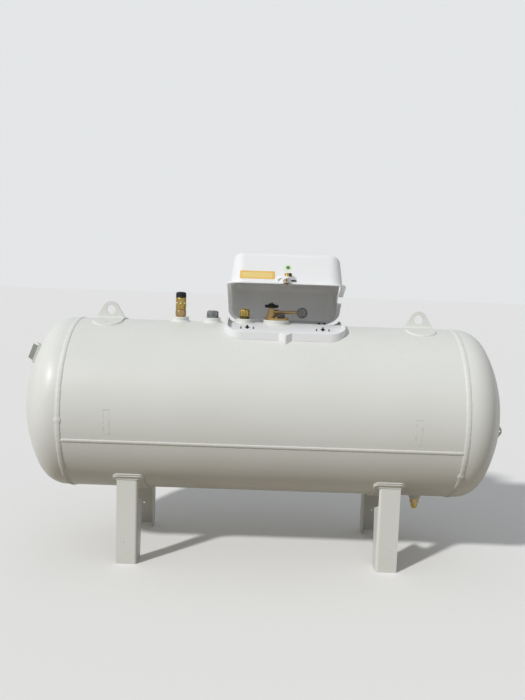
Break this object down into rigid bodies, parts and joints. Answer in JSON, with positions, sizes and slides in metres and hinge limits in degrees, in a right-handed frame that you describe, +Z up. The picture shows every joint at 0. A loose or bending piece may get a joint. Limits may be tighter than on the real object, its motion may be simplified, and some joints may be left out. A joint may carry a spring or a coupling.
{
  "type": "horizontal pressure tank",
  "caption": "Horizontal cylindrical pressure tank for liquefied gas with dished heads, bent-plate legs, lifting lugs, relief valve and a hinged hood over the service valves.",
  "frame": {"origin": "on the ground, under the middle of the tank", "axes": "+X along the tank towards its right end, +Y towards its rear, +Z up"},
  "size_m": [2.2272, 0.806, 1.4334],
  "materials": {
    "white_paint": "glossy white paint",
    "white_plastic": "satin moulded plastic",
    "brass": "bare, slightly tarnished",
    "dull_brass": "tarnished",
    "black_plastic": "matt",
    "gauge_case": "dark case with a clear window",
    "zinc_steel": "zinc plated",
    "plate_metal": "satin"
  },
  "bodies": {
    "tank": {"shell": "white_paint", "left_head": "white_paint", "right_head": "white_paint", "left_girth_weld": "white_paint", "right_girth_weld": "white_paint", "long_seam_weld": "white_paint", "left_lifting_lug": "white_paint", "right_lifting_lug": "white_paint", "left_lug_pad": "white_paint", "right_lug_pad": "white_paint", "front_left_pad": "white_paint", "front_right_pad": "white_paint", "rear_left_pad": "white_paint", "rear_right_pad": "white_paint", "front_left_leg": "white_paint", "front_right_leg": "white_paint", "rear_left_leg": "white_paint", "rear_right_leg": "white_paint", "relief_boss": "white_paint", "relief_valve": "brass", "relief_cap": "black_plastic", "plug_boss": "white_paint", "hex_plug": "zinc_steel", "fill_boss": "white_paint", "fill_valve": "dull_brass", "fill_cap": "brass", "service_boss": "white_paint", "service_valve": "brass", "handwheel": "black_plastic", "pressure_gauge": "gauge_case", "level_gauge": "gauge_case", "drain_boss": "white_paint", "drain_valve": "brass", "nameplate_bracket": "white_paint", "nameplate": "plate_metal", "earthing_lug": "white_paint", "valve_tray": "white_plastic", "hinge_brackets": "zinc_steel"},
    "hood": {"valve_hood": "white_plastic", "hood_hinges": "zinc_steel", "hood_lock": "brass"}
  },
  "joints": [
    {"name": "hood_hinge", "type": "hinge", "parent": "tank", "child": "hood", "pos_m": [0.088, 0.217, 1.084], "axis": [-1, 0, 0], "range_deg": [-30, 75]}
  ]
}
